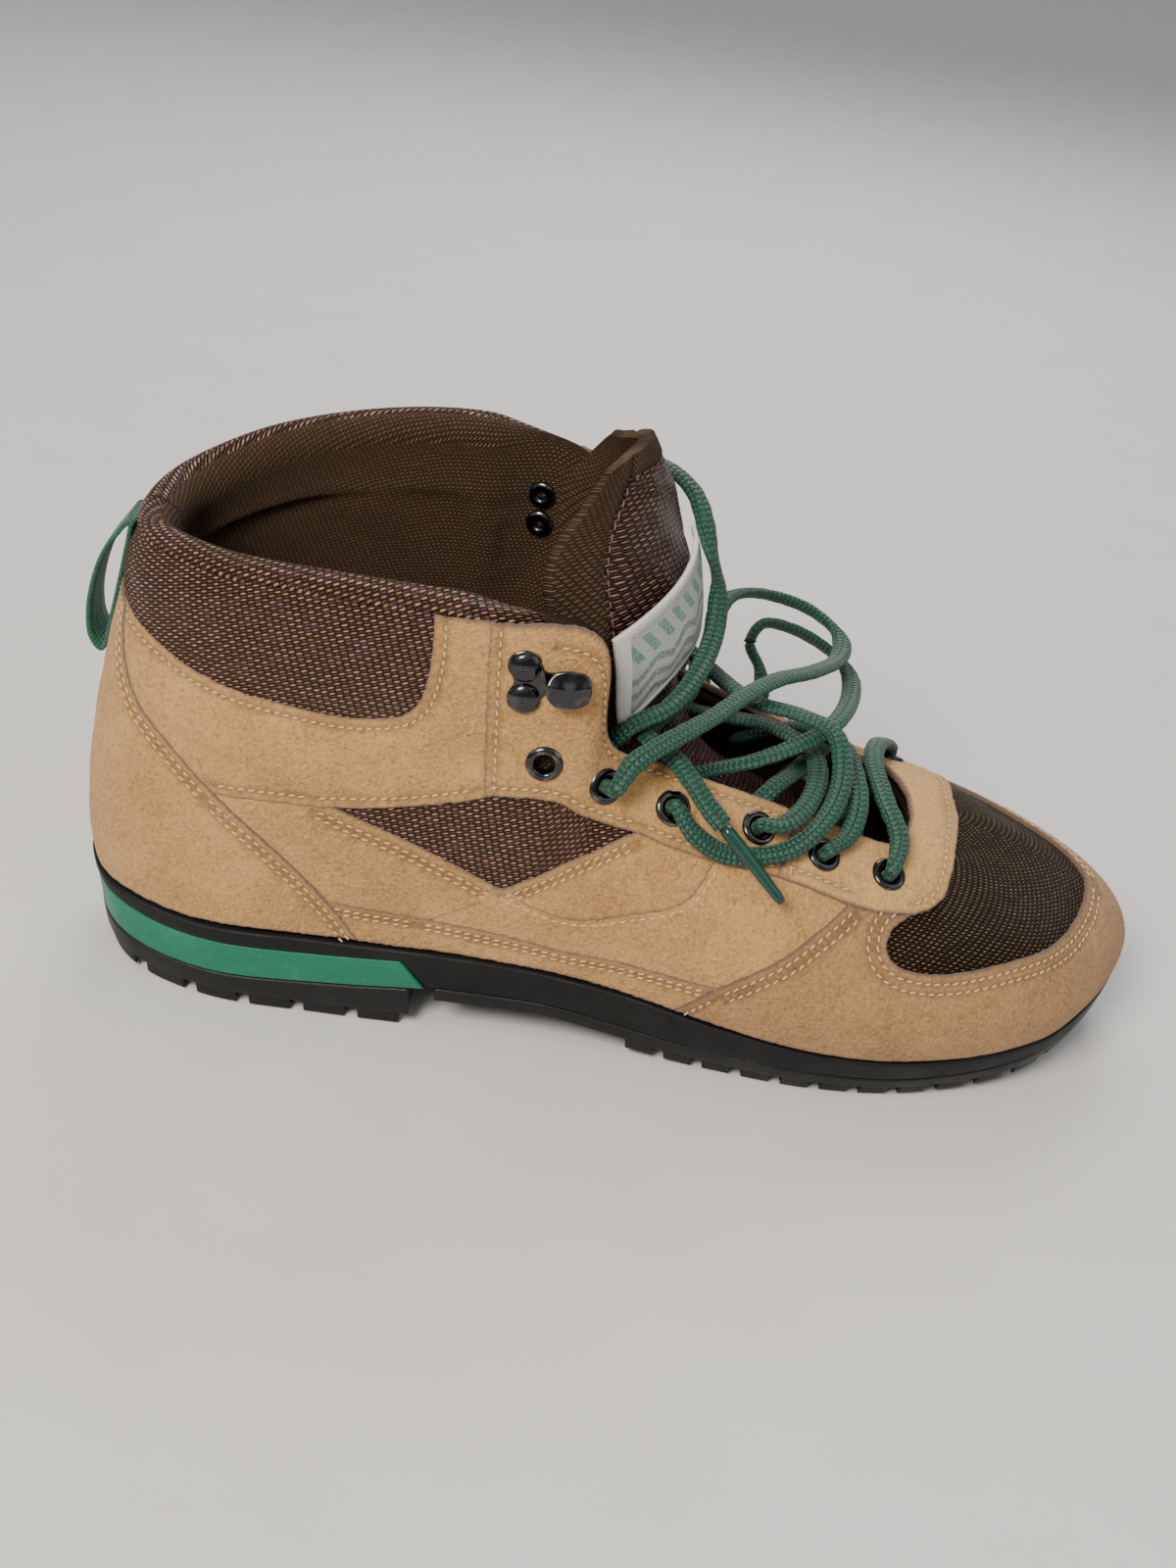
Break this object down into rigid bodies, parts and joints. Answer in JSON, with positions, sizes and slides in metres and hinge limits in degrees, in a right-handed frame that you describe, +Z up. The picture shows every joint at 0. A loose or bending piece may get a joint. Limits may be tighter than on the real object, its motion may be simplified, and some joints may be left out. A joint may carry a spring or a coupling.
{
  "type": "hiking boot",
  "caption": "Mid-height laced hiking boot with suede panels, nylon windows, a padded tongue and collar, a lugged sole and a heel pull loop.",
  "frame": {"origin": "centre of the boot's box, without its lace, on the ground", "axes": "+X to the toe, -Y to the outer (lateral) side of this right boot, +Z up"},
  "size_m": [0.2938, 0.1139, 0.163],
  "materials": {
    "suede": "napped split suede, golden tan",
    "suede_dark": "napped split suede, greyer brown",
    "nylon": "coarse woven nylon, dark brown",
    "tongue_nylon": "fine woven nylon, dark brown",
    "lining": "brushed knit, brown",
    "midsole_foam": "moulded foam, matt black",
    "shank_steel": "plain spring steel",
    "wedge_rubber": "moulded rubber, matt green",
    "outsole_rubber": "moulded rubber, matt black",
    "insole_board": "fibre board, grey",
    "footbed": "foam with a knit cover, dark brown",
    "black_metal": "gloss black lacquer, worn at the edges",
    "webbing": "ribbed webbing, green",
    "label": "woven patch, grey and green",
    "lace": "flat-oval braid, green with light flecks",
    "aglet": "hard clear green plastic"
  },
  "bodies": {
    "boot": {"heel_counter": "suede", "collar_nylon": "nylon", "collar_band_lateral": "suede", "eyestay_lateral": "suede", "quarter_window_lateral": "nylon", "rear_quarter_lateral": "suede", "saddle_lateral": "suede", "fore_quarter_lateral": "suede", "rand_lateral": "suede", "collar_band_medial": "suede", "eyestay_medial": "suede", "quarter_window_medial": "nylon", "rear_quarter_medial": "suede", "saddle_medial": "suede", "fore_quarter_medial": "suede", "rand_medial": "suede", "throat_piece": "suede", "toe_guard": "suede_dark", "toe_nylon": "nylon", "lining": "lining", "midsole": "midsole_foam", "shank": "shank_steel", "heel_wedge": "wedge_rubber", "heel_outsole": "outsole_rubber", "fore_outsole": "outsole_rubber", "insole_board": "insole_board", "footbed": "footbed", "eyelet_lateral_1": "black_metal", "eyelet_lateral_2": "black_metal", "eyelet_lateral_3": "black_metal", "eyelet_lateral_4": "black_metal", "eyelet_lateral_5": "black_metal", "eyelet_lateral_6": "black_metal", "eyelet_medial_1": "black_metal", "eyelet_medial_2": "black_metal", "eyelet_medial_3": "black_metal", "eyelet_medial_4": "black_metal", "eyelet_medial_5": "black_metal", "eyelet_medial_6": "black_metal", "hook_lateral": "black_metal", "hook_rivet_lateral_upper": "black_metal", "hook_rivet_lateral_lower": "black_metal", "hook_medial": "black_metal", "hook_rivet_medial_upper": "black_metal", "hook_rivet_medial_lower": "black_metal", "pull_tab": "webbing", "tongue_root": "tongue_nylon", "lace_threaded": "lace", "lace_end_lateral": "lace", "lace_end_medial": "lace", "aglet_lateral": "aglet", "aglet_medial": "aglet"},
    "tongue": {"tongue": "tongue_nylon", "tongue_patch": "label"}
  },
  "joints": [
    {"name": "tongue_fold", "type": "hinge", "parent": "boot", "child": "tongue", "pos_m": [0.0805, 0, 0.049], "axis": [0, -1, 0], "range_deg": [0, 18]}
  ]
}
